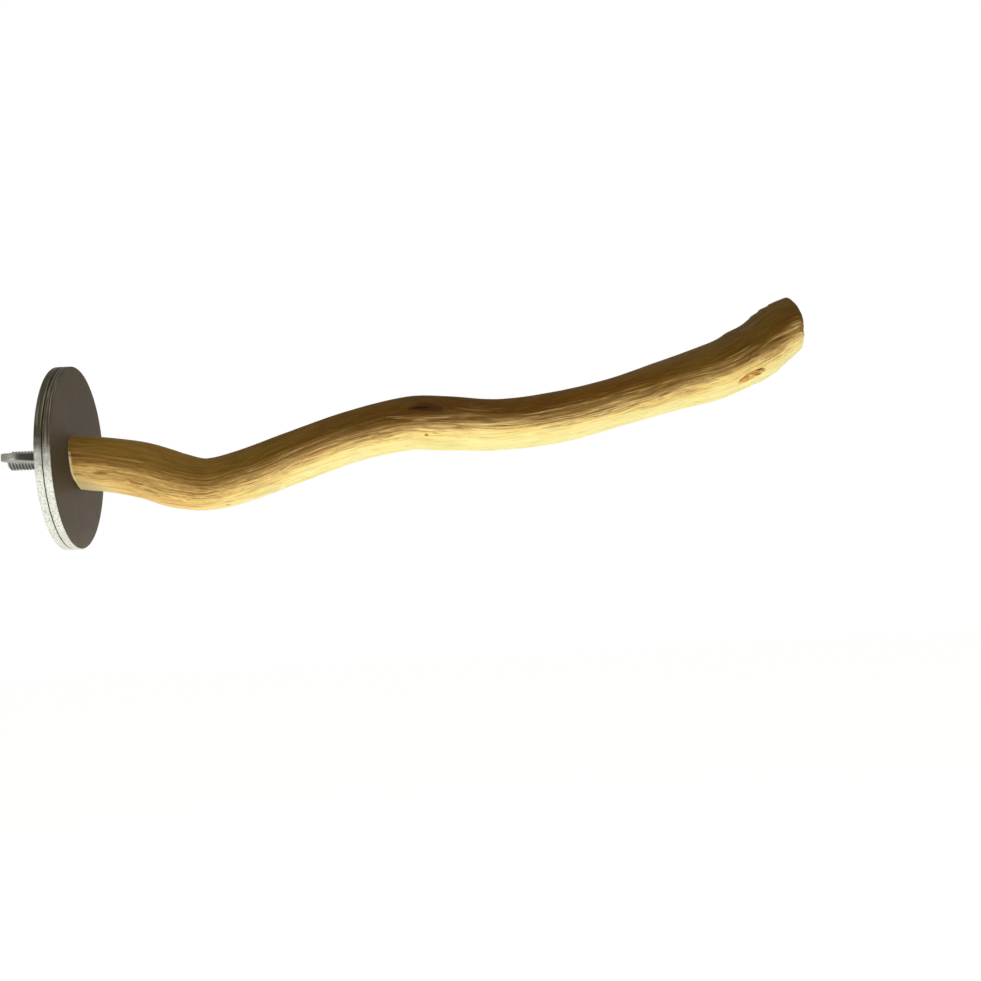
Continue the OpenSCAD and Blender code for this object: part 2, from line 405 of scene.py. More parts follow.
def row_at(places):
    """Smooth curve through the rows of BRANCH_SHARES."""
    rows = BRANCH_SHARES
    i = np.arange(len(rows))
    before, after = rows[np.maximum(i - 1, 0)], rows[np.minimum(i + 1, len(rows) - 1)]
    slopes = (after - before) / (after[:, :1] - before[:, :1])
    k = np.clip(np.searchsorted(rows[:, 0], places, side="right") - 1, 0, len(rows) - 2)
    a, b = rows[k], rows[k + 1]
    h = (b - a)[:, :1]
    t = (places[:, None] - a[:, :1]) / h
    return (
        a * (1 + 2 * t) * (1 - t) ** 2
        + slopes[k] * h * t * (1 - t) ** 2
        + b * t * t * (3 - 2 * t)
        + slopes[k + 1] * h * t * t * (t - 1)
    )


def middle_at(places):
    """Middle line of the branch in mm."""
    row = row_at(places)
    x = ROOT_X + places * BRANCH_LEN
    return np.stack([x, BRANCH_SWAY * row[:, 2], BRANCH_RISE * row[:, 1] - ROOT_DROP], 1)


END_MIDDLE = middle_at(np.array([1.0]))[0]


def section_axes(places):
    """Sideways and upward axes of each section: square to the stud at the root, in the cut at the
    far end."""
    ahead = middle_at(np.minimum(places + READ_STEP_SHARE, 1))
    behind = middle_at(np.maximum(places - READ_STEP_SHARE, 0))
    root = smooth(1 - places / ROOT_SQUARE_SHARE)[:, None]
    end = smooth((places - 1 + END_SQUARE_SHARE) / END_SQUARE_SHARE)[:, None]
    stud_axis = np.array([1, 0, 0])
    cut_axis = unit(np.array([1, 0, CUT_SLOPE_SHARE]))
    normal = unit(unit(ahead - behind) * (1 - root - end) + stud_axis * root + cut_axis * end)
    side = unit(np.array([0, 1, 0]) - normal * normal[:, 1:2])
    return side, np.cross(normal, side)


def swelling(place, angle):
    """What the lobes, ribs and broad swellings add, as a share of the thickness."""
    out = LOBE_SHARE * np.cos(3 * angle + TAU * LOBE_TURNS * place)
    out = out + RIB_SHARE * np.cos(5 * angle - 2 * TAU * LOBE_TURNS * place)
    for centre, centre_angle, reach, reach_around, height in SWELLINGS:
        turn = turn_between(angle, math.radians(centre_angle))
        around = bell(turn, math.radians(reach_around))
        out = out + height * bell(place - centre, reach) * around
    return out


# Surface detail of the branch

def strand_noise(along, angle, step, strands, seed):
    """Smooth noise from -1 to 1 that changes each step mm along and has so many cells around."""
    random = np.random.RandomState(seed)
    table = random.uniform(-1, 1, (int(BRANCH_LEN / step) + 3, strands))
    p = np.clip(along / step, 0, table.shape[0] - 2)
    q = (angle / TAU * strands) % strands
    i, j = np.floor(p).astype(int), np.floor(q).astype(int) % strands
    u, v = smooth(p - i), smooth(q - np.floor(q))
    k = (j + 1) % strands
    here = table[i, j] * (1 - v) + table[i, k] * v
    ahead = table[i + 1, j] * (1 - v) + table[i + 1, k] * v
    return here * (1 - u) + ahead * u


def layered_noise(along, angle, layers):
    """Sum of layers of noise, each with its height, step, cells and seed."""
    return sum(height * strand_noise(along, angle, *cells) for height, *cells in layers)


def eye(along, angle, place, centre, half_len, half_wide, tilt, *_):
    """Distance from the middle of a tilted ellipse on the unrolled surface, 1 at its edge."""
    x = along - place * BRANCH_LEN
    y = turn_between(angle, math.radians(centre)) * BRANCH_R
    c, s = math.cos(math.radians(tilt)), math.sin(math.radians(tilt))
    return np.hypot((c * x + s * y) / half_len, (c * y - s * x) / half_wide)


def grain_angle(along, angle):
    """The angle that the grain has come from: fibres drift, waver and bend round the knots."""
    out = angle + GRAIN_DRIFT * np.sin(along / GRAIN_DRIFT_MM)
    out = out + layered_noise(along, angle, GRAIN_WAVER)
    near_end = smooth((along / BRANCH_LEN - GRAIN_END_START) / GRAIN_END_SHARE)
    out = out - GRAIN_END_TURN * near_end
    for place, centre, half_len, half_wide, _, _ in KNOTS:
        x = (along - place * BRANCH_LEN) / (KNOT_BEND_LEN * half_len)
        y = turn_between(angle, math.radians(centre)) * BRANCH_R / (KNOT_BEND_WIDE * half_wide)
        push = np.exp(-x * x) * y * np.exp(-0.5 * y * y)
        out = out - KNOT_BEND * push * half_wide / BRANCH_R
    return out


def ridge_lines(along, angle):
    """Painted light of the ridges, above 0 for a painted highlight on a crest and below 0 for painted
    shade in a groove, and their height in mm.
    """
    place = along / BRANCH_LEN
    waver = layered_noise(along, angle, RIDGE_WAVER)
    tone, rise = 0, 0
    for start, start_angle, end, end_angle, half_width, height in RIDGES:
        share = np.clip((place - start) / (end - start), 0, 1)
        centre = np.radians(start_angle + (end_angle - start_angle) * share) + waver
        d = turn_between(angle, centre) / math.radians(half_width)
        near = smooth((place - start) / RIDGE_FADE_SHARE) * smooth((end - place) / RIDGE_FADE_SHARE)
        crest = near * np.exp(-d * d)
        groove = GROOVE_SHARE * near * np.exp(-((d - GROOVE_BELOW) ** 2))
        strength = height / FULL_RIDGE_MM
        tone = tone + crest * min(CREST_HIGHLIGHT_CAP, strength) - groove * min(GROOVE_SHADE_CAP, strength)
        rise = rise + (crest - groove) * height
    return tone, rise


def crack_lines(along, grain):
    """Fine cracks along the grain, 1 in the middle of a crack."""
    out = 0
    for lines, places in CRACK_LAYERS:
        line = smooth((strand_noise(along, grain, *lines) - CRACK_START) / CRACK_SOFTNESS)
        open_here = smooth(CRACK_OPEN + CRACK_CHANGE * strand_noise(along, grain, *places))
        out = np.maximum(out, line * open_here)
    return out


def relief(along, angle, grain, cracks, ridges):
    """Height of the surface in mm: strands, cracks, ridges, knots, marks, steps and the pocket."""
    place = along / BRANCH_LEN
    far_end = smooth((place - ROUGHER_END_START) / ROUGHER_SHARE)
    root = smooth((ROUGHER_SHARE - place) / ROUGHER_SHARE)
    top = smooth((np.sin(angle) - TOP_START) / TOP_SOFTNESS)
    rough = (1 + ROUGHER_END * far_end + ROUGHER_ROOT * root) * (1 - CALMER_TOP * top)
    out = rough * (layered_noise(along, grain, STRANDS) - CRACK_DEPTH * cracks) + ridges
    for knot in KNOTS:
        d, depth = eye(along, angle, *knot), knot[5]
        collar = np.exp(-(((d - COLLAR_AT) / COLLAR_WIDTH) ** 2))
        out = out - depth * smooth(KNOT_EDGE - d) + COLLAR_SHARE * depth * collar
    for mark in KNOT_HEARTS + MARKS:
        out = out - mark[5] * smooth(MARK_EDGE - eye(along, angle, *mark))
    for start, centre, depth, fall in STEPS:
        past = (place - start) * BRANCH_LEN
        tooth = np.where(past < 0, smooth(1 + past / fall), smooth(1 - past / STEP_BACK_MM))
        turn = turn_between(angle, math.radians(centre))
        out = out - depth * tooth * bell(turn, math.radians(STEP_HALF_DEG))
    d = eye(along, angle, *POCKET) + layered_noise(along, angle, POCKET_RIM)
    floor = POCKET_MEAN + layered_noise(along, angle, POCKET_FLOOR)
    out = out - POCKET[5] * smooth((POCKET_EDGE - d) / POCKET_FALL) * floor
    d = eye(along, angle, *POCKET_HOLE)
    return out - POCKET_HOLE[5] * smooth((HOLE_EDGE - d) / HOLE_FALL)


# Mesh helpers

def add_mesh(name, points_mm, faces, attributes=None, sharp_deg=40, mend=None):
    """Object from points in mm and lists of faces, shaded smooth but for edges over that angle."""
    mesh = bpy.data.meshes.new(name)
    mesh.from_pydata((np.asarray(points_mm) * MM).tolist(), [], faces)
    for key, values in (attributes or {}).items():
        vector = values.ndim == 2
        layer = mesh.attributes.new(key, "FLOAT_VECTOR" if vector else "FLOAT", "POINT")
        layer.data.foreach_set("vector" if vector else "value", values.astype(np.float32).ravel())
    if mend is not None:
        mend(mesh)
    mesh.shade_smooth()
    mesh.set_sharp_from_angle(angle=math.radians(sharp_deg))
    piece = bpy.data.objects.new(name, mesh)
    bpy.context.scene.collection.objects.link(piece)
    return piece


def join_rings(a, b, sides, flip=False):
    """Quads between the ring of points from index a and the one from index b."""
    j = np.arange(sides)
    k = (j + 1) % sides
    quads = np.stack([a + j, a + k, b + k, b + j], -1)
    return (quads[:, ::-1] if flip else quads).tolist()


def tube_faces(rings, sides):
    """Quads between rings of points that follow each other."""
    i, j = np.meshgrid(np.arange(rings - 1), np.arange(sides), indexing="ij")
    a = i * sides + j
    b = i * sides + (j + 1) % sides
    return np.stack([a, b, b + sides, a + sides], -1).reshape(-1, 4).tolist()


def fan_faces(ring_first, sides, tip, flip=False):
    """Triangles from a ring of points to a tip."""
    out = [[ring_first + j, ring_first + (j + 1) % sides, tip] for j in range(sides)]
    return [f[::-1] for f in out] if flip else out


def lathe(profile, sides):
    """Rings of points, one for each (x, radius) of the profile, turned about the X axis."""
    angle = np.linspace(0, TAU, sides, endpoint=False)
    profile = np.asarray(profile, float)
    x = np.repeat(profile[:, :1], sides, 1)
    r = profile[:, 1:]
    return np.stack([x, r * np.cos(angle), r * np.sin(angle)], -1)


def arc(centre_x, centre_r, r, a0, a1, steps=6):
    """Points (x, radius) of an arc of a profile, from one angle in degrees to another."""
    angles = np.radians(np.linspace(a0, a1, steps + 1))
    return [(centre_x + r * math.sin(a), centre_r + r * math.cos(a)) for a in angles]


# Branch

class Skin:
    """Points, faces and attributes of the branch, whose wall gets more rings at both ends."""

    def __init__(self, wall, attributes):
        self.rings, self.sides = wall.shape[:2]
        self.points = [wall.reshape(-1, 3)]
        self.faces = tube_faces(self.rings, self.sides)
        self.data = {
            key: [values.reshape(-1, *values.shape[2:])] for key, values in attributes.items()
        }

    def add(self, ring, near):
        """Adds points with the attributes of a ring of the wall, and gives the first one's index."""
        first = sum(len(p) for p in self.points)
        self.points.append(ring)
        for values in self.data.values():
            source = values[0][near * self.sides:(near + 1) * self.sides]
            values.append(source[:len(ring)])
        return first

    def add_joined(self, ring, near, previous, flip=False):
        """Adds a ring and the faces between it and the ring before it."""
        first = self.add(ring, near)
        self.faces += join_rings(previous, first, self.sides, flip)
        return first

    def add_tip(self, tip, near, previous, flip=False):
        """Closes a ring with a point."""
        index = self.add(np.array([tip]), near)
        self.faces += fan_faces(previous, self.sides, index, flip)


def branch_wall(places, angles):
    """Rings of points of the branch's side, and the attributes that its material reads there."""
    place, angle = np.meshgrid(places, angles, indexing="ij")
    along = place * BRANCH_LEN
    grain = grain_angle(along, angle)
    cracks = crack_lines(along, grain)
    ridge_painted_light, ridges = ridge_lines(along, angle)

    row = row_at(places)
    half_h, half_w, lean = (row[:, k, None] for k in (3, 4, 5))
    fade = smooth(place / ROOT_FADE_SHARE) * smooth((1 - place) / END_FADE_SHARE)
    fade = FADED_RELIEF + (1 - FADED_RELIEF) * fade
    height = relief(along, angle, grain, cracks, ridges) * fade
    stretch = BRANCH_R * (1 + 2 * swelling(place, angle)) * (1 + height / BRANCH_R)
    leaning = np.cos(angle) * np.sqrt(1 - lean**2) + lean * np.sin(angle)
    across = half_w * stretch * leaning
    upward = half_h * stretch * np.sin(angle)
    side, up = section_axes(places)
    wall = middle_at(places)[:, None] + side[:, None] * across[..., None]
    wall = wall + up[:, None] * upward[..., None]
    chips = 0.5 + 0.5 * strand_noise(along, angle, *CHIP_CELLS)
    wall[..., 0] -= CHIP_DEPTH * smooth((place - CHIP_START) / CHIP_SHARE) * chips**2

    # Painted shade on the upper side and painted light on the lower side, with painted highlights on
    # the ridges' crests and painted shade in their grooves; shade darkens the painted shade in places
    # and lifts it near the root as painted light against the washers' shade
    gain = np.interp(place, PAINTED_SHADE_EDGE_BY_PLACE[:, 0], PAINTED_SHADE_EDGE_BY_PLACE[:, 1])
    reach = np.interp(place, PAINTED_SHADE_EDGE_BY_PLACE[:, 0], PAINTED_SHADE_EDGE_BY_PLACE[:, 2])
    painted_shade_upness = gain * np.sin(angle) + reach + layered_noise(along, angle, TONE_WAVER)
    painted_shade_side = smooth((np.sin(angle) - PAINTED_SHADE_START) / PAINTED_SHADE_SOFTNESS)
    return wall, {
        "grain": np.stack([along, BRANCH_R * np.cos(grain), BRANCH_R * np.sin(grain)], -1),
        "painted_shade_upness": painted_shade_upness - RIDGE_PAINTED_LIGHT * ridge_painted_light,
        "unrolled": np.stack([along, angle * BRANCH_R, np.zeros_like(along)], -1),
        "shade": 1 + (np.interp(place, *PAINTED_SHADE_BY_PLACE) - 1) * painted_shade_side,
        "crack": cracks,
    }


def saw_marks(ring):
    """Waves that the saw has left, in mm."""
    bend = SAW_BEND * np.sin(ring[:, 1] * SAW_BEND_RAD_PER_MM)
    return SAW_DEPTH * np.sin(ring[:, 2] * SAW_RAD_PER_MM + bend)


def end_cracks(angles, share):
    """Cracks from the pith at a share of the rim, 1 in the middle of a crack."""
    out = np.zeros(len(angles))
    for centre, half_width in END_CRACKS:
        turn = np.abs(turn_between(angles, math.radians(centre)))
        out += smooth(1 - turn / math.radians(half_width))
    return out * smooth((share - END_CRACK_START) / END_CRACK_GROWTH)


def close_far_end(skin, edge, angles):
    """Sawn face of rings that shrink to the pith, with saw marks and cracks. Gives its faces."""
    last = skin.rings - 1
    first_face = len(skin.faces) + skin.sides
    pith = END_MIDDLE + np.array(PITH_OFFSET)
    previous = last * skin.sides
    for share in END_RINGS:
        ring = pith + (edge - pith) * share
        if share < END_SUNK_INSIDE:
            sunk = END_SINK + END_CRACK_DEPTH * end_cracks(angles, share)
            ring[:, 0] += saw_marks(ring) - sunk
        previous = skin.add_joined(ring, last, previous)
    skin.add_tip(pith - np.array([END_SINK, 0, 0]), last, previous)
    return slice(first_face, len(skin.faces))


def close_root(skin, edge, angles):
    """Flat face round the bolt's bore, the bore and its point."""
    y, z = PILOT_R * np.cos(angles), PILOT_R * np.sin(angles)
    bore = np.stack([np.full(skin.sides, ROOT_X), y, z], -1)
    previous = 0
    for share in ROOT_RINGS:
        previous = skin.add_joined(bore + (edge - bore) * share, 0, previous, flip=True)
    deep = bore + np.array([PILOT_LEN - PILOT_POINT, 0, 0])
    previous = skin.add_joined(deep, 0, previous, flip=True)
    skin.add_tip((ROOT_X + PILOT_LEN, 0, 0), 0, previous, flip=True)


def make_branch():
    """The branch, and for each of its faces 0 for wood or 1 for end grain."""
    angles = np.linspace(0, TAU, BRANCH_SIDES, endpoint=False)
    wall, attributes = branch_wall(BRANCH_RINGS, angles)
    skin = Skin(wall, attributes)
    sawn = close_far_end(skin, wall[-1], angles)
    close_root(skin, wall[0], angles)
    data = {key: np.concatenate(values) for key, values in skin.data.items()}
    kinds = np.zeros(len(skin.faces), np.int32)
    kinds[sawn] = 1
    return add_mesh("branch_wood", np.concatenate(skin.points), skin.faces, data), kinds


# Thread and washers

def threaded_rod(x0, x1, crest_r, root_r, pitch, start_r, end_r, sides):
    """Points and faces of a right-hand thread from x0 to x1, run out to given radii at both ends."""
    turns = int((x1 - x0) / pitch) + 3
    angle = np.linspace(0, TAU, sides, endpoint=False)
    rings = []
    for turn in range(turns):
        for share, height in THREAD_SHAPE:
            x = x0 + pitch * (turn - 1 + share) + pitch * angle / TAU
            r = root_r + (crest_r - root_r) * height
            r = np.minimum(r, start_r + (x - x0))
            r = np.minimum(r, end_r + (x1 - x))
            r = np.where(x <= x0, start_r, np.where(x >= x1, end_r, r))
            rings.append(np.stack([np.clip(x, x0, x1), r * np.cos(angle), r * np.sin(angle)], -1))
    faces = []
    per_turn = len(THREAD_SHAPE)
    for i in range(len(rings) - 1):
        a = i * sides + np.arange(sides - 1)
        faces += np.stack([a, a + 1, a + 1 + sides, a + sides], -1).tolist()
        if i + per_turn + 1 < len(rings):
            seam = i * sides + sides - 1
            wrap = (i + per_turn) * sides
            faces.append([seam, wrap, wrap + sides, seam + sides])
    return np.concatenate(rings), faces


def mend_rod(mesh):
    """Merges the squeezed points at a threaded rod's ends and closes them."""
    made = bmesh.new()
    made.from_mesh(mesh)
    bmesh.ops.remove_doubles(made, verts=made.verts, dist=MERGE_MM * MM)
    bmesh.ops.dissolve_degenerate(made, edges=made.edges, dist=THIN_MM * MM)
    loose = [v for v in made.verts if not v.link_faces]
    bmesh.ops.delete(made, geom=loose, context="VERTS")
    bmesh.ops.holes_fill(made, edges=[e for e in made.edges if e.is_boundary], sides=0)
    bmesh.ops.recalc_face_normals(made, faces=made.faces)
    made.to_mesh(mesh)
    made.free()


def make_stud():
    span = (STUD_TIP_X, ROOT_X - STUD_GAP)
    radii = (STUD_CREST_R, STUD_ROOT_R)
    run_out = (STUD_TIP_R, STUD_INNER_R)
    points, faces = threaded_rod(*span, *radii, STUD_PITCH, *run_out, STUD_SIDES)
    return add_mesh("stud_thread", points, faces, sharp_deg=35, mend=mend_rod)


def make_washer(name, low_x, high_x):
    """Large flat washer with worn round edges and a punched hole."""
    edge_r = WASHER_R - WASHER_EDGE
    lip_r = WASHER_BORE_R + WASHER_LIP
    profile = (
        [(low_x, lip_r)]
        + [(low_x, r) for r in WASHER_RINGS]
        + arc(low_x + WASHER_EDGE, edge_r, WASHER_EDGE, -90, 0)
        + arc(high_x - WASHER_EDGE, edge_r, WASHER_EDGE, 0, 90)
        + [(high_x, r) for r in reversed(WASHER_RINGS)]
        + [(high_x, lip_r), (high_x - WASHER_LIP, WASHER_BORE_R), (low_x + WASHER_LIP, WASHER_BORE_R)]
    )
    rings, sides = len(profile), WASHER_SIDES
    faces = tube_faces(rings, sides) + join_rings((rings - 1) * sides, 0, sides)
    return add_mesh(name, lathe(profile, sides).reshape(-1, 3), faces, sharp_deg=30)


def soften(piece, voxel_mm, rounds):
    """Rounds a solid's edges and fills its corners, as in a casting."""
    remesh = piece.modifiers.new("remesh", "REMESH")
    remesh.mode = "VOXEL"
    remesh.voxel_size = voxel_mm * MM
    remesh.use_smooth_shade = True
    relax = piece.modifiers.new("relax", "SMOOTH")
    relax.factor = 0.5
    relax.iterations = rounds


# Node graphs

def srgb(*rgb):
    """Linear colour of an 8-bit display colour."""
    shares = (x / 255 for x in rgb)
    return tuple(x / 12.92 if x <= 0.04045 else ((x + 0.055) / 1.055) ** 2.4 for x in shares)


class Graph:
    """Short calls that build the node tree of a material or a world."""

    def __init__(self, owner):
        owner.use_nodes = True
        self.owner = owner
        self.tree = owner.node_tree
        self.tree.nodes.clear()

    def node(self, kind, inputs=None, **settings):
        made = self.tree.nodes.new("ShaderNode" + kind)
        for key, value in settings.items():
            setattr(made, key, value)
        for key, value in (inputs or {}).items():
            self.feed(made.inputs[key], value)
        return made

    def feed(self, socket, value):
        if isinstance(value, bpy.types.NodeSocket):
            self.tree.links.new(value, socket)
        else:
            socket.default_value = value

    def math(self, operation, a, b=0.0, clamp=False):
        return self.node("Math", {0: a, 1: b}, operation=operation, use_clamp=clamp).outputs[0]

    def times(self, a, b):
        return self.math("MULTIPLY", a, b)

    def swing(self, noise, reach):
        """Noise about 0 instead of 0.5, times reach."""
        return self.times(self.math("SUBTRACT", noise, 0.5), reach)

    def vector(self, operation, a, b=(0, 0, 0)):
        return self.node("VectorMath", {0: a, 1: b}, operation=operation).outputs[0]

    def length(self, vector):
        return self.node("VectorMath", {0: vector}, operation="LENGTH").outputs["Value"]

    def object_place(self):
        return self.node("TexCoord").outputs["Object"]

    def object_place_mm(self):
        return self.vector("MULTIPLY", self.object_place(), (1000, 1000, 1000))

    def attribute(self, name, output="Fac"):
        return self.node("Attribute", attribute_name=name).outputs[output]

    def noise(self, vector, scale=1.0, detail=3.0, roughness=0.55, distortion=0.0):
        inputs = {
            "Vector": vector,
            "Scale": scale,
            "Detail": detail,
            "Roughness": roughness,
            "Distortion": distortion,
        }
        return self.node("TexNoise", inputs).outputs["Fac"]

    def scaled(self, vector, scale, shift=(0, 0, 0)):
        inputs = {"Vector": vector, "Scale": scale, "Location": shift}
        return self.node("Mapping", inputs).outputs[0]

    def spread(self, value, low, high, to_low=0.0, to_high=1.0, kind="SMOOTHSTEP"):
        """The range from low to high, spread over the one from to_low to to_high and held there."""
        inputs = {0: value, 1: low, 2: high, 3: to_low, 4: to_high}
        return self.node("MapRange", inputs, interpolation_type=kind).outputs[0]

    def ramp(self, factor, stops):
        """Colour ramp through stops of place and 8-bit colour."""
        made = self.node("ValToRGB", {"Fac": factor})
        elements = made.color_ramp.elements
        while len(elements) < len(stops):
            elements.new(1.0)
        for element, (place, rgb) in zip(elements, stops):
            element.position = place
            element.color = (*srgb(*rgb), 1)
        return made.outputs["Color"]

    def mix(self, factor, a, b, blend="MIX"):
        made = self.node("Mix", data_type="RGBA", blend_type=blend)
        self.feed(made.inputs[0], factor)
        for socket, value in ((made.inputs[6], a), (made.inputs[7], b)):
            self.feed(socket, (*value, 1) if isinstance(value, tuple) else value)
        return made.outputs[2]

    def tint(self, colour, mask, rgb, share=None):
        """Colour turned to an 8-bit colour where the mask is 1, or by a share of that."""
        factor = mask if share is None else self.times(mask, share)
        return self.mix(factor, colour, srgb(*rgb))

    def finish(self, colour, roughness, metallic=0.0, bump=None, bump_mm=0.1, specular=0.5):
        inputs = {
            "Base Color": colour,
            "Roughness": roughness,
            "Metallic": metallic,
            "Specular IOR Level": specular,
        }
        shader = self.node("BsdfPrincipled", inputs)
        bumped = self.node("Bump", {"Height": bump, "Distance": bump_mm * MM, "Strength": 1.0})
        self.feed(shader.inputs["Normal"], bumped.outputs[0])
        self.node("OutputMaterial", {0: shader.outputs[0]})
        return self.owner


def nearest_eye(g, unrolled, rows):
    """Distance from the nearest of some tilted ellipses, 1 at its edge."""
    nearest = None
    for place, centre, half_len, half_wide, tilt, _ in rows:
        inputs = {
            "Vector": unrolled,
            "Location": (place * BRANCH_LEN, math.radians(centre) * BRANCH_R, 0),
            "Rotation": (0, 0, math.radians(tilt)),
            "Scale": (half_len, half_wide, 1),
        }
        reach = g.length(g.node("Mapping", inputs, vector_type="TEXTURE").outputs[0])
        nearest = reach if nearest is None else g.math("MINIMUM", nearest, reach)
    return nearest


# Colours of the wood from its upper side in painted shade, 0, to its pale lower side in painted
# light, 1
PALE_WOOD = [
    (0.00, (100, 74, 20)),
    (0.20, (97, 68, 13)),
    (0.29, (100, 72, 17)),
    (0.37, (113, 86, 33)),
    (0.46, (132, 103, 52)),
    (0.55, (166, 134, 78)),
    (0.63, (198, 164, 103)),
    (0.71, (230, 201, 128)),
    (0.80, (244, 220, 141)),
    (1.00, (250, 238, 166)),
]
GOLDEN_WOOD = [
    (0.00, (110, 84, 32)),
    (0.20, (101, 76, 26)),
    (0.34, (108, 81, 33)),
    (0.43, (130, 100, 44)),
    (0.52, (162, 128, 66)),
    (0.60, (182, 145, 78)),
    (0.68, (204, 165, 92)),
    (0.76, (236, 196, 119)),
    (0.86, (252, 220, 146)),
    (1.00, (255, 232, 170)),
]
TORN_WOOD = [(0.38, (160, 102, 44)), (0.5, (206, 152, 80)), (0.6, (238, 202, 126))]
CUT_WOOD = [(0.0, (172, 134, 80)), (0.55, (205, 168, 108)), (1.0, (218, 184, 124))]

# Where golden wood turns to pale wood, and where the painted shade of the upper side is reddish, in
# mm along, with the tint that does that
GOLDEN_TO_PALE = (24, 95)
REDDISH_FROM = (108, 130)
REDDISH_TO = (250, 232)
REDDISH = (1.0, 0.84, 0.64)


def wood_material():
    g = Graph(bpy.data.materials.new("stripped_wood"))
    grain = g.attribute("grain", "Vector")
    unrolled = g.attribute("unrolled", "Vector")
    painted_shade_upness = g.attribute("painted_shade_upness")
    along = g.node("SeparateXYZ", {0: grain}).outputs["X"]

    def fibre_noise(scale_along, scale_across, shift=(0, 0, 0), **settings):
        """Noise stretched along the grain."""
        scale = (scale_along, scale_across, scale_across)
        return g.noise(g.scaled(grain, scale, shift), **settings)

    broad = fibre_noise(0.018, 0.16, detail=2.0)
    strands = fibre_noise(0.034, 0.90, detail=4.0, roughness=0.62)
    fine = fibre_noise(0.16, 2.8, (7, 3, 1), roughness=0.6)
    dashes = fibre_noise(0.15, 1.9, (2, 8, 4), distortion=0.3)
    streaks = fibre_noise(0.05, 1.6, (1, 5, 8), detail=4.0, roughness=0.62, distortion=0.25)
    fibres = fibre_noise(0.28, 4.2, (5, 2, 6), detail=2.0)
    patches = fibre_noise(0.05, 0.12, (3, 9, 4), detail=2.0)
    flecks = fibre_noise(0.42, 1.7, (4, 4, 9), detail=4.0, roughness=0.65)
    torn = fibre_noise(0.5, 1.3, detail=4.0)
    ragged = g.swing(fibre_noise(0.5, 1.2), 0.7)

    # From the painted shade of the upper side to the painted light of the pale lower side, shifted by
    # the strands of the grain
    shift = g.math("ADD", g.swing(strands, 0.90), g.swing(fine, 0.60))
    shift = g.math("ADD", shift, g.swing(broad, 0.35))
    height = g.math("ADD", painted_shade_upness, shift)
    tone = g.spread(height, 1.0, -1.0, kind="LINEAR")
    golden, pale = g.ramp(tone, GOLDEN_WOOD), g.ramp(tone, PALE_WOOD)
    colour = g.mix(g.spread(along, *GOLDEN_TO_PALE), golden, pale)
    # Painted shade of the upper side, darker in places, and lifted near the root as painted light
    # against the washers' shade
    colour = g.mix(1.0, colour, g.attribute("shade"), "MULTIPLY")
    reddish = g.times(g.spread(along, *REDDISH_FROM), g.spread(along, *REDDISH_TO))
    reddish = g.times(reddish, g.spread(tone, 0.50, 0.34))
    colour = g.mix(reddish, colour, REDDISH, "MULTIPLY")
    warm = g.times(g.spread(patches, 0.35, 0.7), 0.25)
    colour = g.mix(warm, colour, srgb(124, 76, 30), "SOFT_LIGHT")

    # Dashes, streaks and fibres of the grain, in the middle tones and in the dark ones. In the middle
    # tones, where painted shade turns to painted light, they are also painted shade and painted
    # highlight of the relief under grazing light.
    middle_zone = g.times(g.spread(tone, 0.24, 0.46), g.spread(tone, 0.90, 0.64, 0.06, 1.0))
    for noise, low, high, share, rgb in (
        (dashes, 0.55, 0.62, 0.50, (118, 84, 38)),
        (streaks, 0.55, 0.63, 0.55, (112, 78, 34)),
        (streaks, 0.46, 0.38, 0.35, (244, 216, 150)),
        (fibres, 0.52, 0.62, 0.38, (138, 102, 52)),
    ):
        colour = g.tint(colour, g.times(g.spread(noise, low, high), middle_zone), rgb, share)
    dark_zone = g.spread(tone, 0.42, 0.22)
    for noise, low, high, share, rgb in (
        (streaks, 0.50, 0.64, 0.30, (62, 40, 10)),
        (dashes, 0.48, 0.36, 0.14, (140, 108, 48)),
    ):
        colour = g.tint(colour, g.times(g.spread(noise, low, high, 0.0, share), dark_zone), rgb)

    # Flecks of bark, and the cracks along the grain, darkened as painted shade in the cracks, most in
    # the middle tones
    flecked = g.spread(nearest_eye(g, unrolled, FLECKED), 1.25, 0.55)
    for low, high, share, rgb in (
        (0.54, 0.64, 0.42, (138, 98, 48)),
        (0.44, 0.34, 0.28, (250, 224, 156)),
    ):
        colour = g.tint(colour, g.times(g.spread(flecks, low, high, 0.0, share), flecked), rgb)
    cracks_show = g.math("ADD", g.times(middle_zone, 0.7), 0.08)
    colour = g.tint(colour, g.times(g.attribute("crack"), cracks_show), (104, 72, 32))

    # Knots and marks, each from a distance where it starts to one where it is full
    knot, heart, mark, pocket, lip = (
        g.math("ADD", nearest_eye(g, unrolled, rows), ragged)
        for rows in (KNOTS, KNOT_HEARTS, MARKS, [POCKET], [POCKET_LIP])
    )
    for distance, start, full, share, rgb in (
        (knot, 2.4, 1.1, 0.40, (80, 50, 14)),
        (knot, 1.25, 0.8, 0.85, (60, 34, 9)),
        (heart, 1.5, 0.6, 0.80, (36, 13, 3)),
        (mark, 1.5, 0.6, 0.75, (94, 64, 24)),
    ):
        colour = g.tint(colour, g.spread(distance, start, full, 0.0, share), rgb)

    # Torn pocket, its lip with painted shade and its hole painted dark as shade
    colour = g.mix(g.spread(pocket, 1.25, 1.0), colour, g.ramp(torn, TORN_WOOD))
    colour = g.tint(colour, g.spread(lip, 1.0, 0.7, 0.0, 0.50), (104, 62, 26))
    hole = nearest_eye(g, unrolled, [POCKET_HOLE])
    colour = g.tint(colour, g.spread(hole, 1.5, 0.9), (58, 28, 12))

    # Painted highlight on the root's edge, along its lower side
    root_edge_highlight = g.times(g.spread(along, 1.2, 0.3), g.spread(painted_shade_upness, 0.30, -0.25))
    colour = g.tint(colour, root_edge_highlight, (255, 240, 184), 0.85)

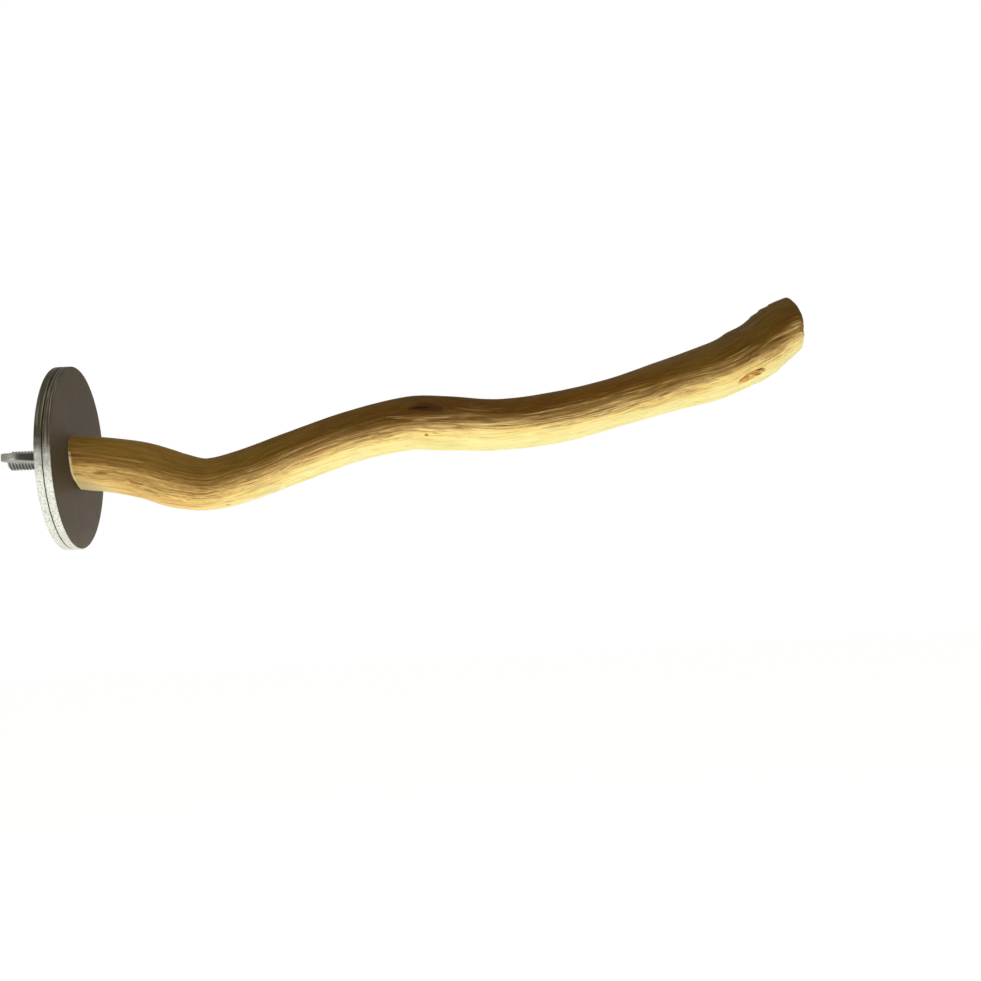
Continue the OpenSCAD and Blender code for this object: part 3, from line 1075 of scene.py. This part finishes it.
    rough = g.spread(fine, 0.3, 0.7, 0.62, 0.82, kind="LINEAR")
    bump = g.math("ADD", g.times(strands, 0.5), g.times(fine, 0.5))
    for noise in (dashes, streaks):
        bump = g.math("SUBTRACT", bump, g.times(g.spread(noise, 0.55, 0.68), 0.3))
    return g.finish(colour, rough, bump=bump, bump_mm=0.35, specular=0.07)


def end_grain_material():
    g = Graph(bpy.data.materials.new("end_grain"))
    from_middle = g.vector("SUBTRACT", g.object_place(), (END_MIDDLE * MM).tolist())
    flat = g.vector("MULTIPLY", from_middle, (0, 1000, 1000))
    waver = g.times(g.noise(g.scaled(flat, (0.3, 0.3, 0.3)), detail=2.0), RING_WAVER_MM)
    reach = g.length(flat)
    year_rings = g.math("SINE", g.times(g.math("ADD", reach, waver), RING_RAD_PER_MM))
    tone = g.spread(year_rings, -1.0, 1.0, kind="LINEAR")
    pores = g.noise(g.scaled(flat, (2.5, 2.5, 2.5)))
    colour = g.ramp(tone, CUT_WOOD)
    colour = g.tint(colour, g.spread(pores, 0.5, 0.75, 0.0, 0.6), (118, 80, 40))
    colour = g.tint(colour, g.spread(reach, 9.0, 13.5, 0.0, 0.75), (98, 70, 34))
    return g.finish(colour, 0.75, bump=g.math("ADD", tone, pores), bump_mm=0.08, specular=0.2)


def washer_material():
    """Dark oiled faces, lighter towards the bottom as a painted highlight, and a rim with painted
    shade above and painted light below.
    """
    g = Graph(bpy.data.materials.new("washer_steel_dark"))
    place = g.object_place_mm()
    reach = g.length(g.vector("MULTIPLY", place, (0, 1, 1)))
    on_rim = g.spread(reach, WASHER_R - 0.55, WASHER_R - 0.15)
    patchy = g.noise(place, 0.22)
    speckle = g.noise(place, 1.3, detail=4.0, roughness=0.6)
    stain = g.noise(place, 0.09)
    lines = g.noise(g.scaled(place, (2.2, 0.05, 0.05)))
    height = g.node("SeparateXYZ", {0: place}).outputs["Z"]
    down = g.math("ADD", g.times(height, -1.0), g.swing(patchy, 14.0))
    dark = g.mix(g.spread(stain, 0.4, 0.65), srgb(69, 59, 43), srgb(74, 61, 46))
    dark = g.tint(dark, g.spread(speckle, 0.50, 0.75, 0.0, 0.20), (86, 76, 60))
    # Painted highlight, lighter towards the bottom of the faces
    dark = g.tint(dark, g.spread(down, 26.0, 46.0, 0.0, 0.35), (124, 112, 98))
    # Rim: painted shade above, streaked with painted highlight lines, and speckled painted light
    # below
    dull = g.mix(g.spread(lines, 0.50, 0.64), srgb(66, 60, 48), srgb(119, 113, 97))
    bright = g.mix(g.spread(speckle, 0.42, 0.7), srgb(229, 230, 219), srgb(180, 181, 168))
    rim = g.mix(g.spread(down, -7.0, 14.0), dull, bright)
    colour = g.mix(on_rim, dark, rim)
    rough = g.spread(speckle, 0.3, 0.7, 0.52, 0.68, kind="LINEAR")
    return g.finish(colour, rough, metallic=0.05, bump=speckle, bump_mm=0.03, specular=0.04)


def plated_material(name, rgb, rough_low, rough_high):
    """Zinc plating with cloudy patches and dull specks."""
    g = Graph(bpy.data.materials.new(name))
    place = g.object_place_mm()
    cloud = g.noise(place, 0.25)
    speckle = g.noise(place, 2.2, detail=4.0)
    plating = srgb(*rgb)
    dimmed = tuple(CLOUD_SHARE * x for x in plating)
    colour = g.mix(g.spread(cloud, 0.35, 0.7), plating, dimmed)
    colour = g.tint(colour, g.spread(speckle, 0.55, 0.8, 0.0, 0.5), (96, 86, 72))
    rough = g.spread(cloud, 0.3, 0.7, rough_low, rough_high, kind="LINEAR")
    return g.finish(colour, rough, metallic=0.9, bump=speckle, bump_mm=0.04)


# Stage

def seen_directly(g):
    """1 for rays from the camera, a mirror or glass."""
    path = g.node("LightPath")
    total = g.math("ADD", path.outputs["Is Camera Ray"], path.outputs["Is Glossy Ray"])
    return g.math("ADD", total, path.outputs["Is Transmission Ray"], clamp=True)


def make_floor():
    corners = [(-1, -1), (1, -1), (1, 1), (-1, 1)]
    mesh = bpy.data.meshes.new("floor")
    points = [(FLOOR_X + FLOOR_HALF * x, FLOOR_HALF * y, FLOOR_Z) for x, y in corners]
    mesh.from_pydata(points, [], [(0, 1, 2, 3)])
    floor = bpy.data.objects.new("floor", mesh)
    bpy.context.scene.collection.objects.link(floor)
    g = Graph(bpy.data.materials.new("pale_floor"))
    away = g.length(g.vector("SUBTRACT", g.object_place(), SHADOW_SPOT))
    lift = g.times(seen_directly(g), g.spread(away, 0.20, 0.60, 0.18, 0.34))
    diffuse = g.node("BsdfDiffuse", {"Color": (0.92, 0.92, 0.92, 1)})
    glow = g.node("Emission", {"Color": (1, 1, 1, 1), "Strength": lift})
    mixed = g.node("AddShader", {0: diffuse.outputs[0], 1: glow.outputs[0]})
    g.node("OutputMaterial", {0: mixed.outputs[0]})
    floor.data.materials.append(g.owner)


def make_world():
    """Soft even light that looks white where it is seen."""
    world = bpy.data.worlds.new("studio")
    bpy.context.scene.world = world
    g = Graph(world)
    soft = g.node("Background", {"Color": (1.0, 0.99, 0.97, 1), "Strength": 0.72})
    white = g.node("Background", {"Color": (1, 1, 1, 1), "Strength": 1.0})
    mixed = g.node("MixShader", {0: seen_directly(g), 1: soft.outputs[0], 2: white.outputs[0]})
    g.node("OutputWorld", {0: mixed.outputs[0]})


def add_lamp(name, place, target, size, watts):
    lamp = bpy.data.lights.new(name, "AREA")
    lamp.shape = "RECTANGLE"
    lamp.size, lamp.size_y = size
    lamp.energy = watts
    holder = bpy.data.objects.new(name, lamp)
    holder.visible_camera = False
    holder.location = place
    aim = Vector(target) - Vector(place)
    holder.rotation_euler = aim.to_track_quat("-Z", "Y").to_euler()
    bpy.context.scene.collection.objects.link(holder)


def make_camera():
    camera = bpy.data.objects.new("camera", bpy.data.cameras.new("camera"))
    bpy.context.scene.collection.objects.link(camera)
    yaw = Matrix.Rotation(-CAMERA_YAW, 3, "Z")
    pitch = Matrix.Rotation(math.pi / 2 + CAMERA_PITCH, 3, "X")
    turn = yaw @ pitch @ Matrix.Rotation(CAMERA_ROLL, 3, "Z")
    camera.matrix_world = Matrix.Translation(CAMERA_PLACE) @ turn.to_4x4()
    camera.data.lens = CAMERA_LENS
    camera.data.sensor_width = SENSOR_WIDTH
    camera.data.clip_start = 0.01
    bpy.context.scene.camera = camera


# The scene

def set_piece(piece, body, node, slot, *materials):
    """Lets a piece ride on a body and stand for a node of the CAD model."""
    for material in materials:
        piece.data.materials.append(material)
    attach(piece, body)
    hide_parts(node)


bpy.context.scene.view_settings.view_transform = "Standard"
make_camera()
make_floor()
make_world()
for lamp_row in LAMPS:
    add_lamp(*lamp_row)

branch, face_kinds = make_branch()
set_piece(branch, "perch", "branch", "wood", wood_material(), end_grain_material())
branch.data.polygons.foreach_set("material_index", face_kinds)

steel = washer_material()
for piece_name, body_name, node_name in (
    ("front_jaw_washer", "front_jaw", "front_washer"),
    ("rear_jaw_washer", "rear_jaw", "rear_washer"),
):
    low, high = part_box(node_name)
    washer = make_washer(piece_name, low.x / MM, high.x / MM)
    set_piece(washer, body_name, node_name, "washer_steel", steel)

plated = plated_material("plated_stud", (156, 154, 148), 0.34, 0.5)
set_piece(make_stud(), "perch", "hanger_bolt", "stud_steel", plated)

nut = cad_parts["wing_nut"]
nut.data.materials.clear()
nut.data.materials.append(plated_material("plated_nut", (150, 148, 142), 0.4, 0.56))
soften(nut, NUT_VOXEL_MM, NUT_ROUNDS)
